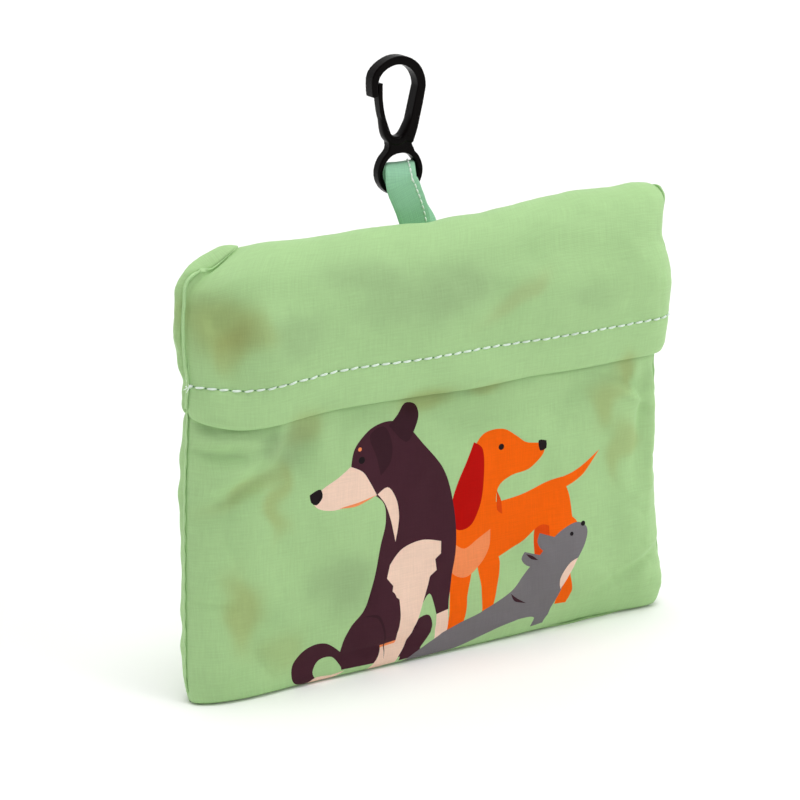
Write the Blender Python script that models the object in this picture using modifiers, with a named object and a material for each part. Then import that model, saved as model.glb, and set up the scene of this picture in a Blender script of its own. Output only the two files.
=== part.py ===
"""Foldable tote bag packed in its own pouch, with a hood flap, a hang loop and a snap hook.

Frame: +X right, +Y back, +Z up, the front faces -Y, and the origin is under the middle of the pouch.
Lengths below are in millimetres; MM turns them into Blender's metres.
"""
import math

import bmesh
import bpy
from mathutils import Vector

MM = 0.001
GAP = 0.3                      # clearance left between touching pieces

# Pouch body
POUCH_HALF_WIDTH = 69.5
FRONT_DEPTH = 7.7              # how far the stuffed front stands out from the seam plane
BACK_DEPTH = 9.0
EDGE_DEPTH = 5.4               # half depth at the side seams
FOOT_DEPTH_LOSS = 1.4          # the pouch is shallower by this at its foot
FOOT_HEIGHT = 14.0
CROWN_POWER = 6                # how squarely the stuffed body meets its side seams
PANEL = 0.8                    # fabric thickness used for the panels
FRONT_TOP = 97.0               # mouth of the pouch, under the hood
BACK_TOP = 107.4
SEAM_TOP = 105.0
FLOOR_THICKNESS = 0.8
BODY_FOOT = FLOOR_THICKNESS + GAP
SEAM_STRIP = 0.6

# Hood
HOOD_HALF_WIDTH = 71.0
HOOD_PANEL = 0.6
HEM_LAYER = 0.4
HOOD_HEM_Z = 74.7
HEM_HEIGHT = 9.3
HOOD_STANDOFF = GAP + HEM_LAYER + GAP + HOOD_PANEL
HOOD_SHOULDER_Z = 101.0
CREST_Y = -1.0
CREST_Z = 117.3
CREST_RISE = 2.2               # the crest climbs to the right end by this
CORNER_DROP = 5.5              # and falls at the left corner by this
HOOD_BACK_Z = 109.0
HOOD_POWER = 0.8
FRONT_SHARE = 0.4              # share of the hood's section that is its upright front
END_SPINE_Y = -3.0             # inner edge of the hood's ends
HOOD_AXIS = (0.0, 9.0, 108.2)
STITCH_Z = 84.3
THREAD_RADIUS = 0.3

# Hang loop
TAPE_HALF_WIDTH = 3.9
TAPE = 0.8
LOOP_AXIS = (-0.15, 10.5, 110.3)
EYE_X = -1.65                  # the hook's eye, which the tape runs through
EYE_Z = 128.3
EYE_OUTER = 6.35
EYE_INNER = 4.95
EYE_BAR_Z = EYE_Z - (EYE_OUTER + EYE_INNER) / 2
HOOK_Y = 13.5
BIGHT_RADIUS = 3.5             # to the middle of the tape
BIGHT_Z = 126.7

# Snap hook
EYE_THICKNESS = 2.6
HOOK_THICKNESS = 3.3
GATE_THICKNESS = 2.4
PEAR_X = -2.24
PEAR_Z = 150.1
PEAR_OUTER = 7.9
NOSE_ANGLE = 193.0
NECK_TOP_Z = 137.3
GATE_ROOT = (-4.9, 138.4)
GATE_HALF = 0.6

# Folded tote inside the pouch
TOTE_HALF_WIDTH = 65.0
TOTE_MIDDLE_Y = 0.65
TOTE_PITCH = 5.0               # between neighbouring folds
TOTE_LAYER = 0.8
TOTE_LAYER_OFFSET = 0.65       # each tote panel's middle from the middle of the pair
TOTE_FOOT_Z = 5.0
TOTE_TOP_Z = 108.0
TOTE_EDGE = 10.0               # height of the tote's hems and its bottom seam
HANDLE_HALF_WIDTH = 12.5

# Finishes: colour, roughness, metallic
FABRIC = ("fabric_green", (0.42, 0.66, 0.30), 0.6, 0.0)
THREAD = ("thread_pale", (0.70, 0.84, 0.70), 0.6, 0.0)
WEBBING = ("tape_mint", (0.24, 0.50, 0.31), 0.7, 0.0)
PLASTIC = ("plastic_black", (0.02, 0.016, 0.016), 0.35, 0.0)


def clear_scene():
    for item in list(bpy.data.objects):
        bpy.data.objects.remove(item, do_unlink=True)


def new_collection(name):
    collection = bpy.data.collections.new(name)
    bpy.context.scene.collection.children.link(collection)
    return collection


def material(finish):
    name, colour, roughness, metallic = finish
    found = bpy.data.materials.get(name)
    if found:
        return found
    made = bpy.data.materials.new(name)
    made.use_nodes = True
    shader = made.node_tree.nodes["Principled BSDF"]
    shader.inputs["Base Color"].default_value = (*colour, 1.0)
    shader.inputs["Roughness"].default_value = roughness
    shader.inputs["Metallic"].default_value = metallic
    return made


def pivot(name, place):
    """An empty on a joint's axis, which the pieces of that body hang from."""
    empty = bpy.data.objects.new(name, None)
    empty.location = Vector(place) * MM
    PARTS.objects.link(empty)
    return empty


def attach(piece, parent):
    if parent is not None:
        piece.parent = parent
        piece.location = piece.location - parent.location
    return piece


def sheet(name, columns, rows, surface, thickness, finish, parent=None):
    """A grid laid on surface(u, v), u and v from 0 to 1, and thickened to its inner side."""
    shape = bmesh.new()
    bmesh.ops.create_grid(shape, x_segments=columns, y_segments=rows, size=0.5)
    for vertex in shape.verts:
        vertex.co = Vector(surface(vertex.co.x + 0.5, vertex.co.y + 0.5)) * MM
    mesh = bpy.data.meshes.new(name)
    shape.to_mesh(mesh)
    shape.free()
    mesh.shade_smooth()
    piece = bpy.data.objects.new(name, mesh)
    PARTS.objects.link(piece)
    shell = piece.modifiers.new("thickness", "SOLIDIFY")
    shell.thickness = thickness * MM
    shell.offset = -1.0
    shell.use_even_offset = True
    mesh.materials.append(material(finish))
    return attach(piece, parent)


def outline_curve(name, loops, thickness, collection):
    """Flat closed outlines in X and Z, filled, and extruded evenly about the hook's plane."""
    curve = bpy.data.curves.new(name, "CURVE")
    curve.dimensions = "2D"
    curve.fill_mode = "BOTH"
    curve.extrude = thickness * MM / 2
    for points in loops:
        spline = curve.splines.new("POLY")
        spline.points.add(len(points) - 1)
        for target, (x, z) in zip(spline.points, points):
            target.co = (x * MM, z * MM, 0.0, 1.0)
        spline.use_cyclic_u = True
    piece = bpy.data.objects.new(name, curve)
    piece.rotation_euler = (math.pi / 2, 0.0, 0.0)
    piece.location = (0.0, HOOK_Y * MM, 0.0)
    collection.objects.link(piece)
    return piece


def curve_to_mesh(piece, collection):
    """The curve's solid as a mesh with welded caps; booleans need one."""
    bpy.context.view_layer.update()
    graph = bpy.context.evaluated_depsgraph_get()
    mesh = bpy.data.meshes.new_from_object(piece.evaluated_get(graph))
    shape = bmesh.new()
    shape.from_mesh(mesh)
    bmesh.ops.remove_doubles(shape, verts=shape.verts, dist=0.001 * MM)
    shape.to_mesh(mesh)
    shape.free()
    solid = bpy.data.objects.new(piece.name + "_solid", mesh)
    solid.matrix_world = piece.matrix_world.copy()
    name = piece.name
    bpy.data.objects.remove(piece, do_unlink=True)
    solid.name = name
    collection.objects.link(solid)
    return solid


def wire(name, points, radius, finish, parent=None):
    curve = bpy.data.curves.new(name, "CURVE")
    curve.dimensions = "3D"
    curve.bevel_depth = radius * MM
    curve.bevel_resolution = 2
    curve.use_fill_caps = True
    spline = curve.splines.new("POLY")
    spline.points.add(len(points) - 1)
    for target, point in zip(spline.points, points):
        target.co = (*(Vector(point) * MM), 1.0)
    curve.materials.append(material(finish))
    piece = bpy.data.objects.new(name, curve)
    PARTS.objects.link(piece)
    return attach(piece, parent)


def circle_points(centre, radius, first, last, count):
    """Points on an arc, angles in degrees, both ends included."""
    step = (last - first) / (count - 1)
    angles = [math.radians(first + step * i) for i in range(count)]
    return [(centre[0] + radius * math.cos(a), centre[1] + radius * math.sin(a)) for a in angles]


def smooth_line(points, steps=6):
    """A Catmull-Rom curve through points."""
    padded = [points[0]] + list(points) + [points[-1]]
    line = []
    for a, b, c, d in zip(padded, padded[1:], padded[2:], padded[3:]):
        for i in range(steps):
            t = i / steps
            line.append(tuple(
                0.5 * (2 * q + (r - p) * t + (2 * p - 5 * q + 4 * r - s) * t * t
                       + (3 * q - p - 3 * r + s) * t ** 3)
                for p, q, r, s in zip(a, b, c, d)))
    line.append(tuple(points[-1]))
    return line


def ribbon_outline(centre_line, half_widths):
    """The closed outline of a bar that follows a flat centre line."""
    left = []
    right = []
    last = len(centre_line) - 1
    for i, ((x, z), half) in enumerate(zip(centre_line, half_widths)):
        x0, z0 = centre_line[max(i - 1, 0)]
        x1, z1 = centre_line[min(i + 1, last)]
        length = math.hypot(x1 - x0, z1 - z0)
        side = (-(z1 - z0) / length * half, (x1 - x0) / length * half)
        left.append((x + side[0], z + side[1]))
        right.append((x - side[0], z - side[1]))
    return left + right[::-1]


def depth(x, z, middle):
    """Half depth of the stuffed pouch at a point of its front or back."""
    foot = max(0.0, 1.0 - z / FOOT_HEIGHT)
    fullness = 1.0 - min(1.0, abs(x) / POUCH_HALF_WIDTH) ** CROWN_POWER
    edge = EDGE_DEPTH + 0.6 * foot
    return edge + (middle - EDGE_DEPTH - FOOT_DEPTH_LOSS * foot ** 2) * fullness


def crest_height(x):
    """The top fold climbs slowly to the right and drops at its two corners."""
    along = x / HOOD_HALF_WIDTH
    climb = CREST_RISE * max(0.0, along)
    return CREST_Z + climb - CORNER_DROP * abs(along) ** 12 * (1.0 if x < 0 else 0.5)


def hood_section(x, t):
    """The hood's outer face in a cut across the pouch, from its hem (t 0) over the top (t 1)."""
    shoulder_y = depth(x, HOOD_SHOULDER_Z, FRONT_DEPTH) + HOOD_STANDOFF
    back_y = depth(x, HOOD_BACK_Z, BACK_DEPTH) - GAP
    crest = crest_height(x)
    if t < FRONT_SHARE:
        z = HOOD_HEM_Z + (HOOD_SHOULDER_Z - HOOD_HEM_Z) * t / FRONT_SHARE
        return -(depth(x, z, FRONT_DEPTH) + HOOD_STANDOFF), z
    angle = math.pi * (t - FRONT_SHARE) / (1.0 - FRONT_SHARE)
    across = math.copysign(abs(math.cos(angle)) ** HOOD_POWER, math.cos(angle))
    up = math.sin(angle) ** HOOD_POWER
    if across > 0:
        return CREST_Y - (shoulder_y + CREST_Y) * across, HOOD_SHOULDER_Z + (crest - HOOD_SHOULDER_Z) * up
    return CREST_Y - (back_y - CREST_Y) * across, HOOD_BACK_Z + (crest - HOOD_BACK_Z) * up


def make_pouch():
    """The outer pocket: floor, front, back, two side seams and the front's turned mouth hem."""
    def across(u, half):
        return (2 * u - 1) * half

    def floor(u, v):
        x = -across(u, POUCH_HALF_WIDTH)
        front = depth(x, 0.0, FRONT_DEPTH)
        back = depth(x, 0.0, BACK_DEPTH)
        return x, -front + (front + back) * v, 0.0

    def front(u, v):
        x = across(u, POUCH_HALF_WIDTH)
        z = BODY_FOOT + (FRONT_TOP - BODY_FOOT) * v
        return x, -depth(x, z, FRONT_DEPTH), z

    def back(u, v):
        x = -across(u, POUCH_HALF_WIDTH)
        z = BODY_FOOT + (BACK_TOP - BODY_FOOT) * v
        return x, depth(x, z, BACK_DEPTH), z

    def mouth_hem(u, v):
        x = across(u, POUCH_HALF_WIDTH - 1.0)
        z = FRONT_TOP - TOTE_EDGE * (1 - v)
        return x, -depth(x, z, FRONT_DEPTH) + PANEL + GAP, z

    def side_seam(sign):
        def place(u, v):
            z = BODY_FOOT + (SEAM_TOP - BODY_FOOT) * v
            half = depth(POUCH_HALF_WIDTH, z, FRONT_DEPTH)
            return sign * (POUCH_HALF_WIDTH + GAP + SEAM_STRIP), sign * across(u, half), z
        return place

    sheet("pouch_floor", 20, 2, floor, FLOOR_THICKNESS, FABRIC)
    sheet("pouch_front_panel", 20, 10, front, PANEL, FABRIC)
    sheet("pouch_back_panel", 20, 10, back, PANEL, FABRIC)
    sheet("pouch_mouth_hem", 16, 1, mouth_hem, HEM_LAYER, FABRIC)
    sheet("left_side_seam", 2, 8, side_seam(-1), SEAM_STRIP, FABRIC)
    sheet("right_side_seam", 2, 8, side_seam(1), SEAM_STRIP, FABRIC)


def make_hood(hinge):
    """The flap that turns over the mouth: its panel, turned hem, stitching and two ends."""
    def panel(u, v):
        x = (2 * u - 1) * HOOD_HALF_WIDTH
        y, z = hood_section(x, v)
        return x, y, z

    def hem(u, v):
        x = (2 * u - 1) * (HOOD_HALF_WIDTH - 1.2)
        z = HOOD_HEM_Z + HEM_HEIGHT * v
        return x, -(depth(x, z, FRONT_DEPTH) + GAP + HEM_LAYER), z

    def end(sign):
        def place(u, v):
            t = 0.04 + 0.94 * v
            y, z = hood_section(HOOD_HALF_WIDTH * sign, t)
            upright = min(1.0, t / FRONT_SHARE)
            inner_y = END_SPINE_Y + 1.5 * upright + 2.5 * (t - FRONT_SHARE * upright)
            inner_z = HOOD_HEM_Z + 3.0 + (HOOD_SHOULDER_Z - HOOD_HEM_Z - 5.0) * upright
            share = u if sign > 0 else 1 - u
            return (sign * (HOOD_HALF_WIDTH + GAP + SEAM_STRIP), y + (inner_y - y) * share,
                    z + (inner_z - z) * share)
        return place

    sheet("hood_panel", 20, 18, panel, HOOD_PANEL, FABRIC, hinge)
    sheet("hood_hem_fold", 16, 1, hem, HEM_LAYER, FABRIC, hinge)
    sheet("hood_left_end", 2, 14, end(-1), SEAM_STRIP, FABRIC, hinge)
    sheet("hood_right_end", 2, 14, end(1), SEAM_STRIP, FABRIC, hinge)
    stitch_count = 28
    stand = HOOD_STANDOFF + GAP + THREAD_RADIUS
    route = []
    for i in range(stitch_count + 1):
        x = (2 * i / stitch_count - 1) * (HOOD_HALF_WIDTH - 1.5)
        route.append((x, -(depth(x, STITCH_Z, FRONT_DEPTH) + stand), STITCH_Z))
    wire("hood_topstitch", route, THREAD_RADIUS, THREAD, hinge)


def loop_route():
    """The tape's middle line in Y and Z with its sideways shift, up the front leg and down the back."""
    front_y = HOOK_Y - BIGHT_RADIUS
    back_y = HOOK_Y + BIGHT_RADIUS
    low_z = EYE_BAR_Z - 3.0
    front_leg = smooth_line([(9.9, LOOP_AXIS[2], LOOP_AXIS[0]), (9.8, 113.0, -0.4), (9.85, 116.5, -1.0),
                             (front_y, low_z, EYE_X), (front_y, BIGHT_Z, EYE_X)], 2)
    bight = [(y, z, EYE_X) for y, z in circle_points((HOOK_Y, BIGHT_Z), BIGHT_RADIUS, 180, 0, 11)]
    back_leg = smooth_line([(back_y, BIGHT_Z, EYE_X), (back_y, low_z + 1.0, EYE_X), (15.2, 116.5, 0.0),
                            (12.4, 113.0, 2.0), (11.2, LOOP_AXIS[2], 3.0)], 2)
    return front_leg + bight[1:-1] + back_leg


def make_loop(hinge):
    """The sewn hang loop: one folded tape and the stitching along its right edge."""
    route = loop_route()
    last = len(route) - 1

    def tape(u, v):
        y, z, x = route[round(v * last)]
        y0, z0, _ = route[max(round(v * last) - 1, 0)]
        y1, z1, _ = route[min(round(v * last) + 1, last)]
        length = math.hypot(y1 - y0, z1 - z0)
        out = TAPE / 2
        return (x + (2 * u - 1) * TAPE_HALF_WIDTH, y - (z1 - z0) / length * out,
                z + (y1 - y0) / length * out)

    sheet("loop_tape", 2, last, tape, TAPE, WEBBING, hinge)
    edge = TAPE_HALF_WIDTH - 1.3
    stand = TAPE / 2 + GAP + THREAD_RADIUS / 2
    seam = [(x + edge, y - stand, z) for y, z, x in route[1:9]]
    wire("loop_stitching", seam, THREAD_RADIUS / 2, THREAD, hinge)


def hook_rail():
    """The open pear of the hook, from the neck up the right side, over the top to the nose."""
    leg = smooth_line([(1.1, NECK_TOP_Z - 1.2), (2.3, 141.2), (3.5, 146.1)], 4)
    angles = [NOSE_ANGLE * i / 22 for i in range(23)]
    arc = []
    for angle in angles:
        half = 1.2 - 0.4 * max(0.0, angle - 60.0) / (NOSE_ANGLE - 60.0)
        radius = PEAR_OUTER - half
        a = math.radians(angle)
        arc.append((PEAR_X + radius * math.cos(a), PEAR_Z + radius * math.sin(a), half))
    line = [(x, z) for x, z in leg] + [(x, z) for x, z, _ in arc]
    halves = [1.3] * len(leg) + [half for _, _, half in arc]
    return ribbon_outline(line, halves)


def hook_eye():
    """The outlines of the eye ring with the waisted neck above it, and of the eye's hole."""
    ring = circle_points((EYE_X, EYE_Z), EYE_OUTER, 52, -232, 40)
    left = [(-4.75, 134.2), (-4.6, 135.2), (-4.85, 136.2), (-5.5, NECK_TOP_Z)]
    right = [(2.6, NECK_TOP_Z), (2.2, 136.2), (2.0, 135.2), (2.05, 134.2)]
    hole = circle_points((EYE_X, EYE_Z), EYE_INNER, 0, 350, 36)
    return [ring + left + right, hole]


def make_hook(swing, cutters):
    """The moulded hook: the eye and neck joined to the pear, in one solid."""
    body = curve_to_mesh(outline_curve("hook_body", hook_eye(), EYE_THICKNESS, PARTS), PARTS)
    rail = curve_to_mesh(outline_curve("rail_guide", [hook_rail()], HOOK_THICKNESS, cutters), cutters)
    rail.hide_render = True
    rail.display_type = "WIRE"
    join = body.modifiers.new("rail", "BOOLEAN")
    join.operation = "UNION"
    join.solver = "EXACT"
    join.object = rail
    body.data.materials.append(material(PLASTIC))
    body.data.set_sharp_from_angle(angle=math.radians(30))
    attach(body, swing)


def make_gate(root):
    """The springy gate blade, rounded about its root, its tip inside the nose."""
    x, z = GATE_ROOT
    line = smooth_line([(x, z), (-5.9, 140.9), (-6.7, 143.3), (-7.15, 145.6), (-7.45, 148.4),
                        (-7.3, 151.6)], 4)
    blade = ribbon_outline(line, [GATE_HALF] * len(line))
    first = math.degrees(math.atan2(blade[-1][1] - z, blade[-1][0] - x))
    foot = circle_points(GATE_ROOT, GATE_HALF, first, first - 180, 9)
    outline = blade + foot[1:-1]
    gate = curve_to_mesh(outline_curve("hook_gate", [outline], GATE_THICKNESS, PARTS), PARTS)
    gate.data.materials.append(material(PLASTIC))
    attach(gate, root)


def tote_route():
    """The fold line of the packed tote in Y and Z: three upright runs joined by round folds."""
    radius = TOTE_PITCH / 2
    left = TOTE_MIDDLE_Y - TOTE_PITCH
    top = TOTE_TOP_Z - radius
    foot = TOTE_FOOT_Z + radius + TOTE_LAYER
    line = [(left, TOTE_FOOT_Z + TOTE_EDGE + GAP), (left, top)]
    line += circle_points((left + radius, top), radius, 180, 0, 9)[1:]
    line += [(TOTE_MIDDLE_Y, foot)]
    line += circle_points((TOTE_MIDDLE_Y + radius, foot), radius, -180, 0, 9)[1:]
    line += [(TOTE_MIDDLE_Y + TOTE_PITCH, TOTE_TOP_Z - TOTE_EDGE - GAP)]
    return line


def tote_narrowing(x):
    """The bundle thins towards its ends with the pouch around it."""
    room = depth(x, HOOD_SHOULDER_Z / 2, FRONT_DEPTH) + depth(x, HOOD_SHOULDER_Z / 2, BACK_DEPTH)
    return (room - 2.4) / (FRONT_DEPTH + BACK_DEPTH - 2.4)


def make_tote():
    """The packed tote: two panels folded together, their seams and hems, and two handles."""
    route = tote_route()
    last = len(route) - 1

    def squeeze(x, y):
        return TOTE_MIDDLE_Y + (y - TOTE_MIDDLE_Y) * tote_narrowing(x)

    def layer(offset):
        def place(u, v):
            i = round(v * last)
            y, z = route[i]
            y0, z0 = route[max(i - 1, 0)]
            y1, z1 = route[min(i + 1, last)]
            length = math.hypot(y1 - y0, z1 - z0)
            x = (2 * u - 1) * TOTE_HALF_WIDTH
            return (x, squeeze(x, y - (z1 - z0) / length * offset), z + (y1 - y0) / length * offset)
        return place

    def strip(y, low, high, half_width, middle_x=0.0):
        def place(u, v):
            x = middle_x + (2 * u - 1) * half_width
            return x, squeeze(x, y), low + (high - low) * v
        return place

    half = TOTE_LAYER / 2
    first_y = TOTE_MIDDLE_Y - TOTE_PITCH
    last_y = TOTE_MIDDLE_Y + TOTE_PITCH
    sheet("tote_front_panel", 10, last, layer(TOTE_LAYER_OFFSET + half), TOTE_LAYER, FABRIC)
    sheet("tote_back_panel", 10, last, layer(half - TOTE_LAYER_OFFSET), TOTE_LAYER, FABRIC)
    foot_top = TOTE_FOOT_Z + TOTE_EDGE
    sheet("tote_bottom_seam", 10, 1, strip(first_y - 0.9, TOTE_FOOT_Z, foot_top, TOTE_HALF_WIDTH), 1.8, FABRIC)
    hem_low = TOTE_TOP_Z - TOTE_EDGE
    for name, shift in (("tote_front_hem", -TOTE_LAYER_OFFSET), ("tote_back_hem", TOTE_LAYER_OFFSET)):
        sheet(name, 10, 1, strip(last_y + shift - half, hem_low, TOTE_TOP_Z, TOTE_HALF_WIDTH),
              TOTE_LAYER, FABRIC)
    handle_low = TOTE_FOOT_Z + 12.0
    handle_high = TOTE_TOP_Z - 12.0
    for name, middle_x, y in (("tote_front_handle", -28.0, TOTE_MIDDLE_Y - TOTE_PITCH / 2),
                              ("tote_back_handle", 28.0, TOTE_MIDDLE_Y + TOTE_PITCH / 2)):
        sheet(name, 2, 4, strip(y - 0.6, handle_low, handle_high, HANDLE_HALF_WIDTH, middle_x), 1.2, FABRIC)


def main():
    cutters = new_collection("cutters")
    hood_hinge = pivot("hood_hinge_axis", HOOD_AXIS)
    loop_hinge = pivot("loop_flex_axis", LOOP_AXIS)
    hook_swing = pivot("hook_swing_axis", (EYE_X, HOOK_Y, EYE_BAR_Z))
    gate_root = pivot("gate_flex_axis", (GATE_ROOT[0], HOOK_Y, GATE_ROOT[1]))
    make_pouch()
    make_hood(hood_hinge)
    make_loop(loop_hinge)
    make_hook(hook_swing, cutters)
    make_gate(gate_root)
    make_tote()


clear_scene()
PARTS = new_collection("foldable_tote_bag")
main()
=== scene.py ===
"""Foldable tote bag packed in its own pouch: the visual model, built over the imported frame.

Frame: +X right, +Y back, +Z up, the front faces -Y. Lengths are in millimetres, and MM turns them
into Blender's metres. Surfaces are worked out as numpy arrays whose last axis is (x, y, z).
"""

import math

import bpy
import numpy as np
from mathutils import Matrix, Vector
from mathutils.geometry import delaunay_2d_cdt


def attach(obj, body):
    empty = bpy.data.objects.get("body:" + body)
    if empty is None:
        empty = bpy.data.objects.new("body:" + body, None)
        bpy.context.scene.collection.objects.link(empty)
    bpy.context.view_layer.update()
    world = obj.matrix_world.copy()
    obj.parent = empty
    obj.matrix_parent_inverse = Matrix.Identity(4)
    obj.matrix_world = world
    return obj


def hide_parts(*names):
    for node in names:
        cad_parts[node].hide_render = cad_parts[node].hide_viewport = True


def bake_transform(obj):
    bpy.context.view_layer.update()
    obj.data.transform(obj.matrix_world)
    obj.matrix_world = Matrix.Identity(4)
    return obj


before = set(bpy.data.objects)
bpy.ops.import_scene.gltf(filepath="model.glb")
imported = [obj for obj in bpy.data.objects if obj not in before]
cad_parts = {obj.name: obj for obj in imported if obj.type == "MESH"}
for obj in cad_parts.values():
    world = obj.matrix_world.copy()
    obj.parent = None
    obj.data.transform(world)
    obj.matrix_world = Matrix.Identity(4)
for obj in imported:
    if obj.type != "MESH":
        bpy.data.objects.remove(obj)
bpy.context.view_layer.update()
scene = bpy.context.scene

MM = 0.001
CLOTH = 0.25                   # fabric thickness

# -------- numbers along curves


def track(rows, at):
    """Rows (key, value, ...) joined by smooth curves, and read at the keys in at."""
    rows = np.asarray(rows, float)
    keys, values = rows[:, 0], rows[:, 1:]
    slopes = np.gradient(values, keys, axis=0)
    at = np.clip(np.asarray(at, float), keys[0], keys[-1])
    i = np.clip(np.searchsorted(keys, at, side="right") - 1, 0, len(keys) - 2)
    gap = (keys[i + 1] - keys[i])[..., None]
    t = (at - keys[i])[..., None] / gap
    out = ((2 * t**3 - 3 * t**2 + 1) * values[i] + (t**3 - 2 * t**2 + t) * gap * slopes[i]
           + (3 * t**2 - 2 * t**3) * values[i + 1] + (t**3 - t**2) * gap * slopes[i + 1])
    return out[..., 0] if out.shape[-1] == 1 else out


def step(low, high, at):
    """0 below low, 1 above high, and smooth between them."""
    t = np.clip((np.asarray(at, float) - low) / (high - low), 0, 1)
    return t * t * (3 - 2 * t)


def lump(a, b, centre, size, turn, sharpness=2.0):
    """A bump of height 1 over the plane (a, b), turned by so many degrees. 2 makes it softly round."""
    c, s = math.cos(math.radians(turn)), math.sin(math.radians(turn))
    da, db = a - centre[0], b - centre[1]
    return np.exp(-((da * c + db * s) / size[0]) ** 2 - (np.abs(db * c - da * s) / size[1]) ** sharpness)


def folds(a, b, table, sharpness=2.0):
    """The sum of a table of folds: height, middle (a, b), half length and half width, turn in degrees."""
    return sum(height * lump(a, b, centre, size, turn, sharpness) for height, centre, size, turn in table)


def ripple(a, b, seed, short, long, count=14):
    """Seeded smooth unevenness of about unit height, with wavelengths from short to long."""
    draw = np.random.RandomState(seed)
    total = np.zeros(np.broadcast(a, b).shape)
    for _ in range(count):
        angle, phase = draw.uniform(0, 2 * math.pi, 2)
        wave = draw.uniform(short, long)
        total = total + np.sin(2 * math.pi * (a * math.cos(angle) + b * math.sin(angle)) / wave + phase)
    return total * math.sqrt(2.0 / count)


def distances(line):
    """How far along a line of points each of them is."""
    return np.concatenate([[0], np.cumsum(np.linalg.norm(np.diff(line, axis=0), axis=1))])


def stuffed_section(half, depth, square, soft, count=601):
    """A stuffed pouch cut level: the width of its cloth, and a function that gives for s, across the
    cloth from its middle, the place across the pouch (-1 to 1) and the share of its depth."""
    across = np.sin(np.linspace(-math.pi / 2, math.pi / 2, count))
    deep = (1 - np.abs(across) ** square) ** soft
    girth = distances(np.stack([across * half, deep * depth], -1))
    share = girth / girth[-1]

    def cut(s):
        return np.interp(s / girth[-1] + 0.5, share, across), np.interp(s / girth[-1] + 0.5, share, deep)

    return girth[-1], cut


def spread(width, count, share):
    """Places across a width from -half to half: evenly by this share, and otherwise closer at the ends."""
    even = np.linspace(-width / 2, width / 2, count)
    return share * even + (1 - share) * -width / 2 * np.cos(np.linspace(0, math.pi, count))


def unit(vectors):
    return vectors / np.linalg.norm(vectors, axis=-1, keepdims=True)


def whole_turn(count):
    return np.linspace(0, 2 * math.pi, count, endpoint=False)


# -------- meshes


def make_piece(name, points, faces, materials, flat=None, face_slots=None, tint=None):
    """A smooth-shaded mesh from points in mm. flat is the cloth's own plane in mm, kept as the UVs."""
    mesh = bpy.data.meshes.new(name)
    points = np.asarray(points, float).reshape(-1, 3)
    mesh.from_pydata((points * MM).tolist(), [], [list(map(int, face)) for face in faces])
    mesh.validate()
    for entry in materials:
        mesh.materials.append(entry)
    if face_slots is not None:
        mesh.polygons.foreach_set("material_index", np.asarray(face_slots, np.int32))
    if flat is not None:
        corner = np.empty(len(mesh.loops), np.int32)
        mesh.loops.foreach_get("vertex_index", corner)
        layer = mesh.uv_layers.new(name="Cloth")
        layer.data.foreach_set("uv", np.asarray(flat, float).reshape(-1, 2)[corner].ravel())
    if tint is not None:
        layer = mesh.color_attributes.new("Tint", "FLOAT_COLOR", "POINT")
        rgba = np.ones((len(points), 4))
        rgba[:, :3] = np.asarray(tint, float).reshape(-1, 3)
        layer.data.foreach_set("color", rgba.ravel())
    mesh.shade_smooth()
    piece = bpy.data.objects.new(name, mesh)
    scene.collection.objects.link(piece)
    return piece


def grid_faces(rows, columns):
    """Quads of a rows by columns grid of points."""
    faces = []
    for r in range(rows - 1):
        below, above = r * columns, (r + 1) * columns
        faces += [(below + c, below + c + 1, above + c + 1, above + c) for c in range(columns - 1)]
    return faces


def grid_piece(name, surface, a, b, materials, tint=None):
    """surface(a, b) laid over every pair of the keys a and b, which are the cloth's own plane."""
    aa, bb = np.meshgrid(a, b)
    points = surface(aa, bb)
    colours = None if tint is None else tint(points)
    return make_piece(name, points, grid_faces(len(b), len(a)), materials,
                      np.stack([aa, bb], -1), tint=colours)


def thicken(piece, thickness=CLOTH, offset=-1.0):
    shell = piece.modifiers.new("thickness", "SOLIDIFY")
    shell.thickness = thickness * MM
    shell.offset = offset
    return piece


def apply_modifiers(piece):
    graph = bpy.context.evaluated_depsgraph_get()
    mesh = bpy.data.meshes.new_from_object(piece.evaluated_get(graph))
    piece.modifiers.clear()
    piece.data = mesh
    return piece


def tube_faces(rows, ring, base=0, reverse=False):
    """The faces of a closed tube of rows of ring points, from its first end to its last."""
    faces = []
    for r in range(rows - 1):
        low, high = base + r * ring, base + (r + 1) * ring
        for k in range(ring):
            n = (k + 1) % ring
            faces.append((low + k, high + k, high + n, low + n) if reverse else (
                low + k, low + n, high + n, high + k))
    ends = [list(range(base + r * ring, base + (r + 1) * ring)) for r in (0, rows - 1)]
    ends[1 if reverse else 0].reverse()
    return faces + ends


def sweep(name, centre, side, up, half_width, half_thick, materials, ring=14):
    """A flat bar with rounded edges along centre. side and up are unit vectors at each point."""
    c, s = np.cos(whole_turn(ring)), np.sin(whole_turn(ring))
    wide = np.sign(c) * np.abs(c) ** 0.35
    tall = np.sign(s) * np.abs(s) ** 0.8
    width = np.broadcast_to(half_width, len(centre))[:, None, None]
    thick = np.broadcast_to(half_thick, len(centre))[:, None, None]
    points = (centre[:, None] + side[:, None] * wide[None, :, None] * width
              + up[:, None] * tall[None, :, None] * thick)
    flat = np.stack(np.broadcast_arrays(wide[None] * width[:, :, 0], distances(centre)[:, None]), -1)
    return make_piece(name, points, tube_faces(len(centre), ring, reverse=True), materials, flat)


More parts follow.
